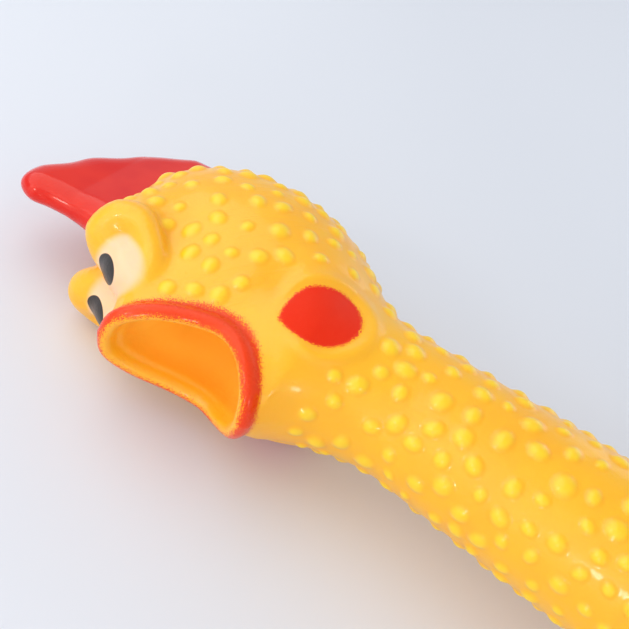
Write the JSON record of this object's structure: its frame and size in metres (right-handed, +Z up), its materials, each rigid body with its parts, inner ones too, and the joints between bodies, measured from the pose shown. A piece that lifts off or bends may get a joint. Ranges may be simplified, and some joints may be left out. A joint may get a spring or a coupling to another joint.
{
  "type": "rubber chicken",
  "caption": "Hollow soft vinyl rubber chicken toy with a gaping mouth, red comb, bendy neck, wings and legs, and a reed whistle in its throat.",
  "frame": {"origin": "on the ground below the middle of the belly, where the chicken rests on its right side", "axes": "+X towards the feet, -Y the way the face and belly look, +Z up, which is the chicken's left"},
  "size_m": [0.4112, 0.0997, 0.0939],
  "materials": {
    "yellow_vinyl": "soft satin vinyl, sprayed orange in the hollows",
    "red_vinyl": "glossy red vinyl",
    "red_paint": "sprayed satin paint with soft speckled edges",
    "cream_paint": "sprayed cream paint",
    "orange_paint": "sprayed satin paint",
    "whistle_plastic": "moulded natural plastic",
    "reed_plastic": "thin sheet plastic"
  },
  "bodies": {
    "torso": {"torso_shell": "yellow_vinyl"},
    "belly": {"belly_panel": "yellow_vinyl"},
    "neck": {"neck_shell": "yellow_vinyl"},
    "head": {"head_shell": "yellow_vinyl", "comb": "red_vinyl", "mouth_rim": "red_paint", "left_eye": "cream_paint", "right_eye": "cream_paint", "left_ear_lobe": "red_paint", "right_ear_lobe": "red_paint", "whistle_barrel": "whistle_plastic", "whistle_cap": "whistle_plastic", "reed_block": "whistle_plastic", "reed_root": "reed_plastic", "reed_wedge": "whistle_plastic"},
    "reed_blade": {"reed": "reed_plastic"},
    "left_wing_body": {"left_wing": "yellow_vinyl"},
    "left_thigh_body": {"left_thigh": "yellow_vinyl"},
    "left_shank_body": {"left_shank": "yellow_vinyl"},
    "left_foot_body": {"left_foot": "orange_paint"},
    "right_wing_body": {"right_wing": "yellow_vinyl"},
    "right_thigh_body": {"right_thigh": "yellow_vinyl"},
    "right_shank_body": {"right_shank": "yellow_vinyl"},
    "right_foot_body": {"right_foot": "orange_paint"}
  },
  "joints": [
    {"name": "neck_bend", "type": "hinge", "parent": "torso", "child": "neck", "pos_m": [-0.0543, 0, 0.04077], "axis": [-0.0811, 0, 0.9967], "range_deg": [-30, 30], "stiffness_Nm_per_rad": 2.5},
    {"name": "head_nod", "type": "hinge", "parent": "neck", "child": "head", "pos_m": [-0.1161, 0, 0.03574], "axis": [-0.0811, 0, 0.9967], "range_deg": [-30, 30], "stiffness_Nm_per_rad": 2},
    {"name": "reed_flutter", "type": "hinge", "parent": "head", "child": "reed_blade", "pos_m": [-0.15895, -0.00025, 0.03225], "axis": [-0.0811, 0, 0.9967], "range_deg": [0, 4], "stiffness_Nm_per_rad": 0.002},
    {"name": "belly_squeeze", "type": "slide", "parent": "torso", "child": "belly", "axis": [0, 1, 0], "range_m": [0, 0.014], "stiffness_N_per_m": 400},
    {"name": "left_wing_lift", "type": "hinge", "parent": "torso", "child": "left_wing_body", "pos_m": [-0.03125, 0, 0.07802], "axis": [0, -1, 0], "range_deg": [0, 50], "stiffness_Nm_per_rad": 0.3},
    {"name": "left_hip", "type": "hinge", "parent": "torso", "child": "left_thigh_body", "pos_m": [0.02892, -0.002, 0.06611], "axis": [-0.0811, 0, 0.9967], "range_deg": [-30, 30], "stiffness_Nm_per_rad": 0.6},
    {"name": "left_hock", "type": "hinge", "parent": "left_thigh_body", "child": "left_shank_body", "pos_m": [0.07277, -0.002, 0.06968], "axis": [-0.0811, 0, 0.9967], "range_deg": [-35, 35], "stiffness_Nm_per_rad": 0.3},
    {"name": "left_ankle", "type": "hinge", "parent": "left_shank_body", "child": "left_foot_body", "pos_m": [0.10866, -0.002, 0.0726], "axis": [-0.0811, 0, 0.9967], "range_deg": [-25, 25], "stiffness_Nm_per_rad": 0.15},
    {"name": "right_wing_lift", "type": "hinge", "parent": "torso", "child": "right_wing_body", "pos_m": [-0.02552, 0, 0.00774], "axis": [0, 1, 0], "range_deg": [0, 50], "stiffness_Nm_per_rad": 0.3},
    {"name": "right_hip", "type": "hinge", "parent": "torso", "child": "right_thigh_body", "pos_m": [0.03192, -0.002, 0.02923], "axis": [-0.0811, 0, 0.9967], "range_deg": [-30, 30], "stiffness_Nm_per_rad": 0.6},
    {"name": "right_hock", "type": "hinge", "parent": "right_thigh_body", "child": "right_shank_body", "pos_m": [0.07577, -0.002, 0.0328], "axis": [-0.0811, 0, 0.9967], "range_deg": [-35, 35], "stiffness_Nm_per_rad": 0.3},
    {"name": "right_ankle", "type": "hinge", "parent": "right_shank_body", "child": "right_foot_body", "pos_m": [0.11166, -0.002, 0.03572], "axis": [-0.0811, 0, 0.9967], "range_deg": [-25, 25], "stiffness_Nm_per_rad": 0.15}
  ]
}
